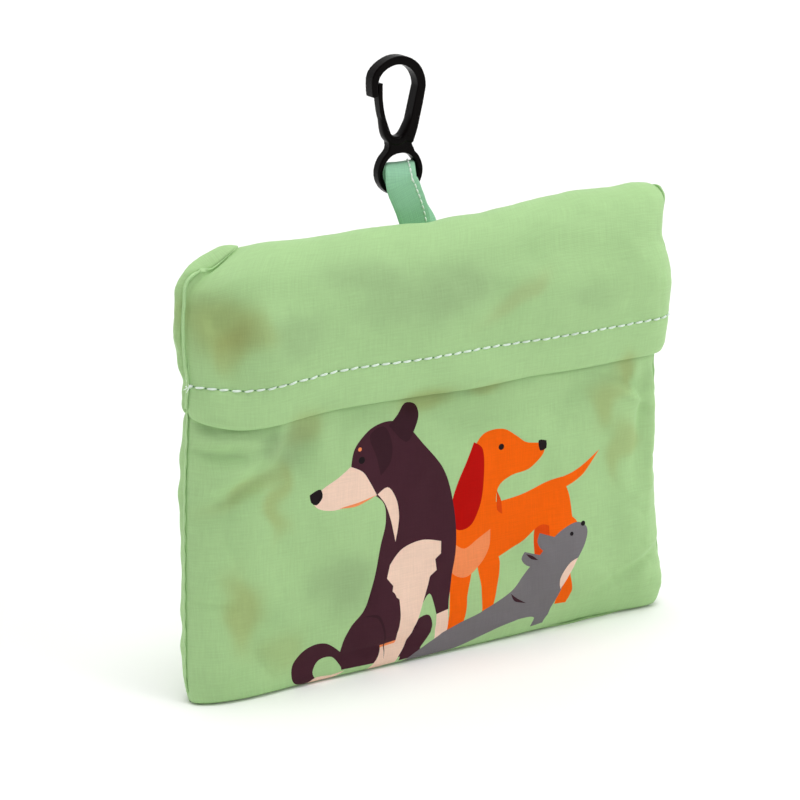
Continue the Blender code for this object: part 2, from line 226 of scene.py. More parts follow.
def stitches(name, places, alongs, outs, length, radius, materials, slant=0.12):
    """Short sewn threads: one small capsule at each place, lying along, sunk at both its ends."""
    ring, rows = 6, 7
    span = np.linspace(-1, 1, rows)
    girth = np.sqrt(np.clip(1 - np.abs(span) ** 3.0, 0.02, 1))
    points, faces = [], []
    for n, (place, along, out) in enumerate(zip(places, alongs, outs)):
        side = np.cross(out, along)
        along = along + side * slant * (1 if n % 2 else 0.4)
        along = along / np.linalg.norm(along)
        for r in range(rows):
            centre = place + along * span[r] * length / 2 - out * radius * 1.1 * span[r] ** 2
            points += [centre + girth[r] * radius * (side * math.cos(q) + out * math.sin(q))
                       for q in whole_turn(ring)]
        faces += tube_faces(rows, ring, n * ring * rows)
    return make_piece(name, points, faces, materials)


# -------- materials


class Nodes:
    """Short calls for the node tree of a material or a world."""

    def __init__(self, owner):
        owner.use_nodes = True
        self.owner = owner
        self.tree = owner.node_tree

    def fill(self, node, inputs):
        for key, value in inputs.items():
            if isinstance(value, bpy.types.NodeSocket):
                self.tree.links.new(value, node.inputs[key])
            else:
                node.inputs[key].default_value = value

    def add(self, kind, inputs=(), **settings):
        node = self.tree.nodes.new("ShaderNode" + kind)
        for key, value in settings.items():
            setattr(node, key, value)
        self.fill(node, dict(inputs))
        return node

    def math(self, operation, a, b=0.0):
        return self.add("Math", {0: a, 1: b}, operation=operation).outputs[0]

    def scaled(self, vector, scale):
        return self.add("VectorMath", {0: vector, 1: scale}, operation="MULTIPLY").outputs[0]

    def noise(self, vector, scale, detail=2.0, roughness=0.5):
        return self.add("TexNoise", {"Vector": vector, "Scale": scale, "Detail": detail,
                                     "Roughness": roughness}).outputs["Fac"]

    def range(self, value, low, high, to_low, to_high, **settings):
        return self.add("MapRange", {"Value": value, "From Min": low, "From Max": high,
                                     "To Min": to_low, "To Max": to_high}, **settings).outputs[0]

    def times(self, colour, factor):
        return self.add("Mix", {0: 1.0, 6: colour, 7: factor},
                        data_type="RGBA", blend_type="MULTIPLY").outputs[2]

    def finish(self, shader="Principled BSDF", **values):
        """Set the shader's inputs, named with _ for each space."""
        self.fill(self.tree.nodes[shader], {key.replace("_", " "): value for key, value in values.items()})
        return self.owner


def woven(name, colour, tinted=True, pitch=0.34, slub=0.05, sheen=0.04, roughness=0.56, gloss=0.16):
    """Plain-woven nylon: fine crossing threads, uneven slubs both ways, and a soft sheen."""
    n = Nodes(bpy.data.materials.new(name))
    cloth = n.add("UVMap", uv_map="Cloth").outputs[0]
    warp = n.noise(n.scaled(cloth, (2.8, 0.16, 1.0)), 1.0, 2.0)
    weft = n.noise(n.scaled(cloth, (0.16, 2.8, 1.0)), 1.0, 2.0)
    cloudy = n.noise(n.scaled(cloth, (0.05, 0.05, 1.0)), 1.0, 3.0)
    thread_a, thread_b = (
        n.add("TexWave", {"Vector": n.scaled(cloth, across), "Scale": 0.314},
              bands_direction=axis).outputs["Fac"]
        for axis, across in (("X", (1 / pitch, 0.0, 0.0)), ("Y", (0.0, 1 / pitch, 0.0))))
    slubs = n.math("ADD", warp, weft)
    shade = n.range(slubs, 0.7, 1.3, 1.0 - slub, 1.0 + slub)
    shade = n.math("MULTIPLY", shade, n.range(cloudy, 0.3, 0.7, 0.97, 1.03))
    weave = n.math("MULTIPLY", thread_a, thread_b)
    shade = n.math("MULTIPLY", shade, n.range(weave, 0.0, 1.0, 0.93, 1.04))
    base = (*colour, 1.0)
    if tinted:
        base = n.times(base, n.add("Attribute", attribute_name="Tint").outputs["Color"])
    height = n.math("ADD", n.math("MULTIPLY", slubs, 0.5), n.math("MULTIPLY", weave, 0.35))
    bump = n.add("Bump", {"Strength": 0.35, "Distance": 0.00012, "Height": height})
    return n.finish(Base_Color=n.times(base, shade), Roughness=roughness, Sheen_Weight=sheen,
                    Sheen_Roughness=0.4, Specular_IOR_Level=gloss, Normal=bump.outputs[0])


def plastic(name):
    """Black moulded acetal: satin, with a faint grain from the mould."""
    n = Nodes(bpy.data.materials.new(name))
    place = n.add("TexCoord").outputs["Object"]
    grain = n.noise(place, 5200.0, 2.0)
    flow = n.noise(place, 180.0, 2.0)
    bump = n.add("Bump", {"Strength": 0.12, "Distance": 0.00005, "Height": grain})
    return n.finish(Base_Color=n.times((0.003, 0.002, 0.002, 1.0), n.range(flow, 0.3, 0.7, 0.85, 1.15)),
                    Roughness=n.range(flow, 0.3, 0.7, 0.24, 0.32), Specular_IOR_Level=0.05,
                    Normal=bump.outputs[0])


def thread(name, colour):
    """Spun sewing thread: a fine twist and an uneven dye."""
    n = Nodes(bpy.data.materials.new(name))
    place = n.add("TexCoord").outputs["Object"]
    twist = n.add("TexWave", {"Vector": place, "Scale": 1500.0, "Distortion": 1.0},
                  bands_direction="DIAGONAL").outputs["Fac"]
    uneven = n.noise(place, 900.0)
    bump = n.add("Bump", {"Strength": 0.5, "Distance": 0.00006, "Height": twist})
    return n.finish(Base_Color=n.times((*colour, 1.0), n.range(uneven, 0.3, 0.7, 0.88, 1.06)),
                    Roughness=0.55, Sheen_Weight=0.2, Normal=bump.outputs[0])


GREEN = woven("pouch_green", (0.425, 0.660, 0.305))
# A lighter, untinted copy of the pouch green for the seam and hood rims: painted highlight on the rims.
GREEN_RIM_HIGHLIGHT = woven("seam_green_painted_highlight", (0.46, 0.71, 0.34), tinted=False)
TOTE_GREEN = woven("tote_green", (0.42, 0.63, 0.36), tinted=False)
TAPE_MINT = woven("tape_mint", (0.32, 0.63, 0.41), tinted=False, pitch=0.5, slub=0.07)
INKS = {
    ink: woven("ink_" + ink, colour, sheen=0.0, gloss=0.06) for ink, colour in (
        ("dark", (0.064, 0.019, 0.030)), ("cream", (0.97, 0.70, 0.56)), ("orange", (1.0, 0.135, 0.001)),
        ("red", (0.52, 0.002, 0.0005)), ("salmon", (1.0, 0.30, 0.11)), ("grey", (0.20, 0.187, 0.20)),
        ("black", (0.014, 0.009, 0.011)), ("shade", (0.045, 0.014, 0.022)), ("rust", (0.80, 0.07, 0.002)))
}
PALE_THREAD = thread("thread_pale", (0.88, 1.0, 0.90))
# Dark green for the capsules between the stitches: painted shade in the gaps of the stitch row.
GAP_SHADE_THREAD = thread("thread_in_shade", (0.10, 0.24, 0.10))
BLACK = plastic("hook_black")

# -------- pouch

SEAM_Y = -0.6
LEFT_SEAM = ((0, -71.4), (1.5, -72.0), (4, -72.4), (8, -72.6), (14, -72.6), (38, -72.2), (60, -71.5),
             (73, -70.7), (97, -69.6), (108, -69.0))
RIGHT_SEAM = ((0, 70.4), (5, 73.0), (17, 72.2), (32, 70.7), (46, 69.8), (61, 69.9), (74, 69.4),
              (97, 69.2), (108, 69.0))
FOOT_EDGE = ((-72, 5.4), (-67, 7.0), (-61, 7.8), (-43, 7.0), (-6, 6.2), (26, 5.4), (55, 4.4), (65, 5.4),
             (73, 6.4))
FRONT_DEPTH = ((0, 8.0), (66, 8.0), (76, 7.3), (108, 7.0))
BOXY_FOOT = 0.24               # the lower this is, the squarer the pouch meets its seams at the foot
FOOT_ROLL = 2.0                # radius of the roll at the foot
FOOT_GAP = 0.15
MOUTH_Z = 97.0
FRONT_WIDTH, front_cut = stuffed_section(71.5, 7.5, 16, 0.55)
FRONT_LOW = -6.0               # the front's cloth runs this far under the foot


def seams(z):
    """The middle between the two side seams, and half the distance between them."""
    left, right = track(LEFT_SEAM, z), track(RIGHT_SEAM, z)
    return (left + right) / 2, (right - left) / 2


def rolled_foot(t):
    """Height and inset of a cloth at t along it, where it rolls under at the foot."""
    arc = np.clip(t / FOOT_ROLL, 0, math.pi / 2)
    z = FOOT_GAP + FOOT_ROLL * (1 - np.cos(arc)) + np.maximum(t - FOOT_ROLL * math.pi / 2, 0)
    return z, FOOT_ROLL * (1 - np.sin(arc)) + np.maximum(-t, 0)


def front_surface(s, t, proud=0.0):
    """The pouch's front: s across the cloth from -half to half, t up it, with 0 where it touches down."""
    across, deep = front_cut(s)
    z, inset = rolled_foot(t)
    middle, half = seams(z)
    x = middle + half * across
    deep = deep ** (BOXY_FOOT + (1 - BOXY_FOOT) * step(-2, 18, z))
    full = track(FOOT_EDGE, x)
    full = full + (track(FRONT_DEPTH, z) - full) * step(0, 15, z)
    depth = np.maximum((full + SEAM_Y) * deep - inset, 0.0) + proud
    depth = depth + front_relief(x, z) * step(0.0, 0.6, deep) * step(1.0, 7.0, z)
    return np.stack([x, SEAM_Y - depth, z], -1)


FRONT_MOST = 1.9               # the most that the front's folds stand out or lie in
FRONT_HOLLOWS = (
    (-1.4, (-44, 66), (6, 6), 20), (0.9, (-36, 69), (4, 9), -10), (-0.8, (-64, 44), (5, 10), 16),
    (0.7, (-55, 38), (5, 14), 12), (-0.8, (-56, 20), (9, 4), 60), (0.6, (-62, 12), (6, 8), 30),
    (-0.7, (-30, 26), (8, 6), 50), (0.8, (60, 26), (6, 10), 20), (0.9, (66, 10), (5, 6), 0),
    (-0.5, (20, 66), (16, 4), 6), (0.5, (28, 72), (18, 3), 4), (-0.6, (50, 42), (5, 9), -10),
    (-0.6, (40, 66), (7, 5), 20),
)
FRONT_CREASES = (
    (1.6, (-62, 70.6), (10, 2.2), -10), (-1.3, (-66, 67.2), (8, 2.0), -12), (1.5, (-60, 62.6), (12, 2.2), 22),
    (-1.7, (-58, 57.2), (13, 2.4), 24), (1.2, (-50, 65), (2.2, 9), -20), (-0.8, (-66, 50), (8, 1.6), 12),
    (0.8, (-67, 36), (7, 1.5), 20), (-0.8, (-67, 27), (7, 1.5), -14), (0.7, (-64, 8), (6, 1.4), 34),
    (1.1, (66.5, 52), (1.4, 18), -3), (-1.3, (62, 58), (1.8, 13), -6), (-1.0, (57, 68), (8, 1.8), -24),
    (0.9, (60, 63), (8, 1.6), -30), (-1.2, (58, 13), (13, 2.2), 24), (0.8, (62, 17.5), (10, 1.6), 26),
    (-0.7, (-20, 6.4), (14, 1.6), 2), (0.6, (30, 5.2), (16, 1.6), -2), (0.7, (63, 36), (8, 1.5), 24),
)


def front_relief(x, z):
    """Folds and hollows of the stuffed front, in mm outwards."""
    out = 0.30 * ripple(x, z, 3, 18, 60) + 0.07 * ripple(x, z, 4, 6, 16)
    out = out + folds(x, z, FRONT_HOLLOWS) + 1.7 * folds(x, z, FRONT_CREASES, 1.25)
    out = FRONT_MOST * np.tanh(out / FRONT_MOST) - 0.8 * step(-46, -72, x)
    return out - crumple(x, z, 51) * (0.10 + 0.35 * step(48, 68, np.abs(x)) + 0.25 * (1 - step(6, 20, z)))


def crumple(x, z, seed):
    """Small sharp-edged creases all over, about unit depth, as crushed nylon keeps."""
    bend = 3.0 * ripple(x, z, seed + 2, 20, 50)
    sharp = np.abs(ripple(x + bend, z - bend, seed, 16, 34, 5))
    fine = np.abs(ripple(x - bend, z + bend, seed + 1, 9, 20, 5))
    return np.exp(-sharp * 3.0) + 0.4 * np.exp(-fine * 3.0)


def cloth_tint(points):
    """Where the print of the folded bag inside shows faintly through the cloth, with some painted shade on
    the front.
    """
    x, z = points[..., 0], points[..., 2]
    brown = np.array([0.93, 0.77, 0.66])
    grey = np.array([0.80, 0.77, 0.80])
    pink = np.array([1.0, 0.88, 0.86])
    dun = np.array([0.84, 0.72, 0.60])
    tint = np.ones(x.shape + (3,))
    wander = 1.2 * ripple(x, z, 21, 8, 20)
    for colour, centre, size, turn, weight in (
            (dun, (-64, 100), (10, 8), -10, 0.95), (brown, (-61, 93), (4, 6), 0, 0.7),
            # (dun, (-6, 73)) is painted shadow of the hood's hem on the front below it, over a faint
            # show-through of the print.
            (dun, (-6, 73), (9, 3.5), 4, 1.0), (grey, (-16, 101), (9, 7), 0, 0.35),
            (brown, (-55, 99), (6, 5), 0, 0.5), (brown, (-41, 71), (5, 5), 20, 0.7),
            # (grey, (-45, 66)) is painted shade in the hollow there. (brown, (-57, 57)) is painted shade
            # along the crease there, partly a brownish show-through.
            (grey, (-45, 66), (7, 6), 20, 0.8), (brown, (-57, 57), (12, 2.6), 24, 0.6),
            (brown, (-49, 52), (3, 9), 0, 0.8), (brown, (-59, 24), (4.5, 11), 8, 0.9),
            (brown, (-48, 11), (6, 6), 0, 0.5), (grey, (-30, 26), (10, 9), 0, 0.8),
            (grey, (1, 101), (13, 8), 10, 0.75), (pink, (20, 97), (11, 2.8), 31, 0.9),
            (grey, (-24, 108), (12, 4), -8, 0.5), (brown, (14, 73), (5, 2), 0, 0.8),
            (grey, (44, 94), (8, 4), 0, 0.4), (grey, (-44, 95), (8, 6), 0, 0.5),
            (brown, (56, 71), (3.5, 6), -10, 0.9), (brown, (50, 63), (4, 7), 0, 0.8),
            (brown, (55, 50), (4, 9), -8, 0.7)):
        amount = weight * step(0.02, 0.9, lump(x + wander, z, centre, size, turn))
        tint = tint * (1 - amount[..., None] * (1 - colour))
    return tint


def faint_tint(points):
    """The same, mirrored and half as strong, for the back."""
    return 0.5 + 0.5 * cloth_tint(points * (-1.0, 1.0, 1.0))


def smooth_outline(points, spacing=0.8, sharpness=0.12):
    """A closed smooth outline through points. A point with a third number is a sharp corner."""
    nodes = []
    for before, here, after in zip(points[-1:] + points[:-1], points, points[1:] + points[:1]):
        spot = np.array(here[:2], float)
        if len(here) == 3:
            sides = [np.array(near[:2], float) - spot for near in (before, after)]
            sides = [spot + side / np.linalg.norm(side) * sharpness for side in sides]
            nodes += [sides[0], spot, sides[1]]
        else:
            nodes.append(spot)
    nodes = np.array(nodes)
    closed = np.vstack([nodes[-2:], nodes, nodes[:3]])
    keys = np.concatenate([[0], np.cumsum(np.linalg.norm(np.diff(closed, axis=0), axis=1) ** 0.5)])
    at = []
    for i in range(2, 2 + len(nodes)):
        count = max(1, int(round(np.linalg.norm(closed[i + 1] - closed[i]) / spacing)))
        at.append(np.linspace(keys[i], keys[i + 1], count, endpoint=False))
    return track(np.column_stack([keys, closed]), np.concatenate(at))


def round_outline(centre, radius, count=14):
    turn = whole_turn(count)
    return np.stack([centre[0] + radius * np.cos(turn), centre[1] + radius * np.sin(turn)], -1)


def drawings():
    """The print: three plain dogs, as (ink, outline) pairs in the front cloth's own plane, back to front."""
    shapes = []

    def put(ink, *points):
        shapes.append((ink, smooth_outline(list(points))))

    def dot(ink, centre, radius):
        shapes.append((ink, round_outline(centre, radius)))

    # standing dog, looking right: far legs, tail, body, near legs, head
    put("rust", (29, 33.5), (34.5, 33), (34, 24), (32.4, 17), (30.6, 9.6, 1), (27.6, 9.8, 1), (29.4, 18),
        (28, 26))
    put("orange", (2.6, 30), (8.4, 28), (7.6, 17), (5.4, 7.6), (2.2, 5, 1), (-1.8, 4.6, 1), (0.8, 8),
        (2.2, 17))
    put("orange", (35.5, 45.6, 1), (42, 47), (50, 51.4, 1), (44, 45.2), (37.5, 42.5, 1))
    put("orange", (8, 44), (14, 42.5), (24, 43), (34, 45.6), (37.5, 46, 1), (39.5, 41), (40.4, 34),
        (41.5, 27, 1), (38.5, 26), (36, 30), (31, 33.5), (24, 29.5), (17, 26.5), (12, 25), (4, 27),
        (3, 34))
    put("orange", (34, 36), (41.5, 33), (41.6, 26), (39.2, 20), (39.6, 12), (38.2, 8.6, 1), (34.6, 8.8, 1),
        (35.6, 17), (33.4, 24))
    put("orange", (11, 28), (17, 27), (16.6, 18), (14.6, 10), (14.6, 7, 1), (9.4, 6.8, 1), (11.4, 10),
        (11.8, 18))
    put("orange", (4, 34), (6.5, 47), (9, 57), (12.6, 61.5), (19, 62), (23, 59.6), (26, 57.4), (31, 56.2),
        (31.6, 54), (27.5, 50.2), (21, 48.8), (17.5, 46.5), (16.6, 42), (17.6, 39, 1), (12, 30))
    put("salmon", (2.4, 34, 1), (6.5, 31), (11, 33), (14.8, 35, 1), (14.4, 30), (11.4, 25.5), (7, 22.6),
        (3.2, 24.2), (1.8, 29))
    put("rust", (16.9, 45.6, 1), (18.2, 42.5), (18.6, 38.6, 1), (17, 40))
    put("red", (9.6, 60, 1), (12.2, 58), (12.8, 50), (11.6, 42), (8.4, 37), (4.6, 36.6), (2.8, 41), (4.8, 50))
    dot("black", (18.4, 57.2), 0.85)
    put("black", (29.8, 57.4), (32.2, 57, 1), (32.2, 54.9), (30.4, 54.4))
    # sitting dog, looking left: tail, far hind foot, body, cream coat, legs, head
    put("dark", (-30, 8, 1), (-35, 12), (-40.5, 11.6), (-44.6, 7.6), (-44.2, 2.8), (-40.6, 0.9), (-37.6, 1.6),
        (-38.6, 4.6), (-36.6, 7.6), (-33, 7.6), (-30, 4, 1))
    put("cream", (-40.4, 1.0, 1), (-37.8, 2.8), (-33, 2.6), (-29, 3.0, 1), (-34, 0.9))
    put("dark", (-8, 13.5), (-4.5, 14), (-3.4, 9.5), (-6.5, 4.6), (-4.6, 2.6, 1), (-12.5, 2.2, 1), (-11, 8))
    put("dark", (-27.5, 58), (-26.5, 64), (-22, 68.4), (-16, 69.8), (-11, 67.6), (-6, 62), (0, 54.5),
        (3.2, 46), (4.2, 36), (2.8, 24), (1.6, 14.4, 1), (-2, 13.4, 1), (-4, 20), (-8, 14), (-12, 3.4, 1),
        (-20, 3.2), (-30, 3.4, 1), (-30.6, 9), (-28, 15), (-24, 19.5), (-21, 27), (-18.6, 36),
        (-17.0, 43), (-17.4, 47.6), (-20.4, 50.6), (-24, 53), (-27, 55.6))
    put("cream", (-2, 13.6, 1), (1.5, 14.4, 1), (1.4, 8), (0.2, 1.6, 1), (-4.2, 1.4, 1), (-2.8, 4.5),
        (-2.3, 9))
    put("cream", (-15.8, 30.5, 1), (-12, 34.2), (-6, 35.6), (-0.4, 34.4, 1), (-0.6, 31, 1),
        (-2.2, 29.6, 1), (-1.8, 26.4, 1), (-3.8, 25, 1), (-6.5, 16.5), (-10.5, 8.5), (-13.6, 1.8, 1),
        (-17.6, 1.6, 1), (-15.6, 6.5), (-13.4, 14), (-13.4, 20.4, 1), (-15.6, 22.4, 1), (-15.2, 24.6, 1),
        (-17, 27, 1))
    put("dark", (-21.5, 25), (-14.8, 22.4), (-14.2, 14), (-14.2, 8.2, 1), (-18.8, 7.6, 1), (-20.8, 14))
    put("salmon", (-18.8, 7.9, 1), (-14.1, 8.5, 1), (-14.6, 6.4, 1), (-18.4, 6.2, 1))
    put("cream", (-18.6, 7.2, 1), (-14.2, 7.6, 1), (-15.2, 4), (-17.6, 1.3, 1), (-22.2, 1.2, 1), (-19.6, 4))
    put("shade", (-24.5, 17.6, 1), (-20, 17.4), (-17.8, 12), (-17.4, 3.6, 1), (-18.4, 12), (-20.4, 16.6))
    put("cream", (-27.6, 59.4, 1), (-24, 57.4), (-21.5, 53.8), (-19.6, 50.4, 1), (-26, 49), (-33, 48.6),
        (-37.4, 50), (-38.6, 52.2), (-36, 54.6), (-31, 57.2))
    put("salmon", (-19.6, 50.6, 1), (-26, 49.3), (-31, 48.7, 1), (-26, 48.5))
    put("cream", (-19.4, 50.6, 1), (-16.4, 52), (-13.8, 48.6), (-12.8, 43.5), (-14, 36.6, 1), (-15.4, 43),
        (-17.2, 47.8))
    put("black", (-39.6, 53.8, 1), (-36.4, 54.8), (-35.8, 52.6), (-37.6, 50.8), (-39.2, 51.8))
    dot("black", (-24.4, 60.6), 0.95)
    dot("salmon", (-25.0, 63.6), 0.55)
    put("shade", (-16.5, 68.6, 1), (-13.8, 71.2), (-11.6, 73.8), (-8.6, 73.2), (-7.4, 70.4), (-8.6, 66.6),
        (-11, 63.4))
    put("shade", (-22, 66.8), (-18, 68.6), (-15.4, 63.6), (-15.8, 58.4), (-18.4, 55.4, 1), (-19.8, 60.4))
    # small dog, stretching up to the right: ears, body, throat, fold of the shoulder
    def small(ink, *points):
        put(ink, *((p[0] * 0.97, 0.4 + p[1] * 0.87) + p[2:] for p in points))

    small("grey", (31.0, 28.0, 1), (26.0, 30.0, 1), (25.0, 27.8), (26.4, 25.4), (28.8, 24.2, 1))
    small("grey", (36.0, 33.0, 1), (30.8, 35.4, 1), (30.0, 32.6), (31.2, 29.8), (33, 28.6, 1))
    small("grey", (-12, 0.8, 1), (-4, 6.2), (4, 9.8), (14, 13.6), (22, 18), (27.5, 24.5), (33, 31),
        (38, 35.2), (43.5, 36.6), (46.4, 34.2), (45.8, 29.5), (42.4, 24), (38.5, 17), (36, 11.5),
        (33.8, 6), (33.6, 3.8, 1), (29.6, 3.4, 1), (29.4, 6.6), (24, 7.2), (14, 4.4), (4, 1.6, 1))
    small("cream", (42.8, 24.8, 1), (40.2, 23.6), (37.2, 18.4), (37.2, 14.8, 1), (39.8, 19))
    small("shade", (21.4, 16.8, 1), (22.6, 13.8), (26.4, 12.2, 1), (23.4, 14.6))
    small("shade", (26.4, 29.2, 1), (28.2, 28.4), (30.0, 26.6, 1), (28.0, 27.2))
    dot("black", (39.8, 29.3), 0.6)
    dot("black", (43.8, 31.5), 0.75)
    return shapes


def make_front():
    """The front panel as one sheet, its print laid into the same mesh so that every edge is clean."""
    half = FRONT_WIDTH / 2
    low, high, pitch = FRONT_LOW, MOUTH_Z, 1.1
    columns, rows = int(FRONT_WIDTH / pitch) + 1, int((high - low) / pitch) + 1
    s, t = np.meshgrid(np.linspace(-half, half, columns), np.linspace(low, high, rows))
    corners = [tuple(p) for p in np.stack([s, t], -1).reshape(-1, 2)]
    outlines, inks = [], []
    for ink, outline in drawings():
        outline = outline[::-1] if signed_area(outline) < 0 else outline
        outlines.append(list(range(len(corners), len(corners) + len(outline))))
        corners += [tuple(p) for p in outline]
        inks.append(ink)
    flat, _, faces, _, _, origin = delaunay_2d_cdt([Vector(p) for p in corners], [], outlines, 0, 1e-4)
    flat = np.array([tuple(p) for p in flat])
    points = front_surface(flat[:, 0], flat[:, 1])
    names = ["green"] + list(INKS)
    slots = [names.index(inks[max(source)]) if source else 0 for source in origin]
    piece = make_piece("pouch_front", points, faces, [GREEN] + list(INKS.values()), flat, slots,
                       cloth_tint(points))
    return thicken(piece, offset=1.0 if faces_point_in(piece) else -1.0)


def signed_area(outline):
    x, y = outline[:, 0], outline[:, 1]
    return 0.5 * np.sum(x * np.roll(y, -1) - y * np.roll(x, -1))


def faces_point_in(piece):
    """True if the piece's faces look towards +Y, into the pouch."""
    return sum(face.normal.y * face.area for face in piece.data.polygons) > 0


SIDE_BULGE = ((0, 0.2), (6, 0.8), (30, 1.0), (70, 1.2), (79, 0.6), (83, 0.0), (108, 0.0))
BACK_DEPTH = ((0, 7.4), (8, 8.4), (20, 9.0), (90, 9.2), (108, 9.0))
BACK_TOP = 106.6
BACK_WIDTH, back_cut = stuffed_section(71.0, 9.0, 8, 0.5)
BACK_LOW = -8.0


def back_surface(s, t):
    """The pouch's back and its two sides, from seam to seam: s across, t up from where it touches down."""
    across, deep = back_cut(s)
    z, inset = rolled_foot(t)
    middle, half = seams(z)
    half = half - 0.5 - 0.9 * step(74, 78, z)      # tucked in under the hood
    window = step(0.02, 0.4, deep) * (1 - step(0.6, 1.0, deep))
    scallop = 0.35 * ripple(z, 0 * z, 7, 6, 14) * step(6, 16, z) * (1 - step(66, 76, z))
    bulge = (track(SIDE_BULGE, z) + scallop) * window
    x = middle + across * half + np.sign(across) * bulge
    depth = np.maximum(track(BACK_DEPTH, z) * deep - inset, 0.0)
    relief = 0.35 * ripple(x, z, 5, 16, 55) + 0.07 * ripple(x, z, 6, 6, 15)
    depth = depth + relief * step(0.5, 1.0, deep) * step(1.0, 7.0, z) * (1 - step(96, 106, z))
    return np.stack([x, SEAM_Y + 0.1 + depth, z], -1)


def make_back():
    piece = grid_piece("pouch_back", back_surface, spread(BACK_WIDTH, 131, 0.65),
                       np.linspace(BACK_LOW, BACK_TOP, 84), [GREEN], faint_tint)
    return thicken(piece, offset=-1.0 if faces_point_in(piece) else 1.0)


def make_floor():
    """The sagging foot of the pouch, between the rolled edges of its front and back."""
    def surface(x, y):
        ends = 1 - 0.85 * np.abs(x / 70.0) ** 9
        return np.stack([x, 0.6 + (y - 0.6) * ends, 0.45 + 0.2 * ripple(x, y, 8, 9, 30)], -1)
    return thicken(grid_piece("pouch_foot", surface, np.linspace(-66, 69, 60), np.linspace(-4.2, 5.4, 8),
                              [GREEN], cloth_tint))


def make_mouth_hem():
    """The front's turned hem inside the mouth."""
    def surface(s, t):
        return front_surface(s, t, proud=-CLOTH - 0.3)
    return thicken(grid_piece("mouth_hem", surface, spread(FRONT_WIDTH - 6, 90, 1.0),
                              np.linspace(MOUTH_Z - 9.5, MOUTH_Z - 0.2, 8), [GREEN], cloth_tint))


def make_welt(name, sign):
    """The folded edge of the front along a side seam, a thin rim in a lighter green that paints its
    highlight.
    """
    z = np.linspace(3.0, 96.0, 90)
    edge = track(LEFT_SEAM if sign < 0 else RIGHT_SEAM, z)
    wave = 0.10 * np.sin(2 * math.pi * z / 5.1)
    centre = np.stack([edge + sign * (0.05 + wave), np.full(z.shape, SEAM_Y - 0.5), z], -1)
    side = np.tile([sign * 0.35, -0.94, 0.0], (len(z), 1))
    up = np.tile([sign * 0.94, 0.35, 0.0], (len(z), 1))
    return sweep(name, centre, side, up, 0.75, 0.26, [GREEN_RIM_HIGHLIGHT], 10)


# -------- hood

# Stations from the inner hem, round the hem's fold, up the front, over the top and down the back:
# the middle's (y, z), the left end's seam (x, y, z), and the right end's seam (x, y, z).
HOOD_STATIONS = (
    (-8.75, 84.9, -69.2, -1.2, 85.2, 69.5, -1.2, 84.8),
    (-8.8, 79.5, -69.3, -1.2, 80.4, 70.2, -1.2, 79.5),
    (-8.8, 75.0, -69.4, -1.3, 77.2, 70.2, -1.2, 75.5),
    (-9.3, 74.2, -69.9, -1.4, 76.4, 70.8, -1.3, 74.6),
    (-9.85, 75.1, -70.5, -1.5, 77.2, 71.3, -1.3, 75.5),
    (-10.0, 79.5, -70.6, -1.2, 80.6, 72.2, -1.2, 79.6),
    (-9.8, 84.2, -70.2, -1.2, 84.6, 72.8, -1.2, 84.3),
    (-10.2, 90.0, -70.6, -1.0, 90.5, 73.5, -1.0, 90.0),
    (-10.3, 96.0, -70.9, -1.0, 96.4, 73.7, -1.0, 95.6),
    (-9.9, 101.5, -70.7, -0.8, 101.5, 72.6, -1.0, 101.0),
    (-9.0, 106.3, -70.2, -0.5, 106.0, 71.3, -0.8, 106.0),
    (-7.3, 110.6, -69.4, -0.4, 110.7, 71.6, -0.6, 111.2),
    (-4.7, 114.2, -66.4, -0.2, 112.9, 72.6, 0.2, 115.8),
    (-1.2, 116.5, -61.9, 0.2, 113.2, 71.4, 1.6, 118.2),
    (2.6, 116.8, -55.4, 1.6, 116.6, 69.8, 4.0, 118.0),
    (6.2, 115.0, -53.0, 5.0, 116.6, 68.2, 6.6, 115.4),
    (8.8, 111.6, -56.0, 8.6, 112.0, 67.5, 8.7, 111.8),
    (9.75, 108.0, -60.0, 9.4, 108.0, 67.0, 9.4, 108.0),
    (9.9, 104.2, -62.0, 9.6, 104.2, 66.5, 9.5, 104.2),
)
CREST_LIFT = ((-72, 0.0), (-52, 0.9), (-42, 0.3), (-8, 0.0), (4, -0.3), (18, 0.4), (29, 2.3), (39, 3.1),
              (57, 3.0), (66, 2.6), (72, 0.8))
HEM_DIP = ((-72, 0.2), (-67, 0.2), (-60, -0.9), (-50, -1.0), (-42, -0.2), (-34, 0.4), (-10, 0.3), (20, 0.3),
           (72, 0.3))
HEM_FOLD_STATION = 3
STITCH_STATION = 6
LEFT_COLUMN, RIGHT_COLUMN = 2, 5       # where the ends' seams start in HOOD_STATIONS


def hood_keys():
    """How far along the cloth each station is, measured down the hood's middle, with 0 at the hem fold."""
    keys = distances(np.array(HOOD_STATIONS)[:, :2])
    return keys - keys[HEM_FOLD_STATION]


HOOD_KEYS = hood_keys()
HOOD_TABLE = np.column_stack([HOOD_KEYS, HOOD_STATIONS])


def station_key(station):
    return np.interp(station, np.arange(len(HOOD_KEYS)), HOOD_KEYS)


def past(first, last, t):
    """0 before the first station, 1 after the last, and smooth between them."""
    return step(HOOD_KEYS[first], HOOD_KEYS[last], t)


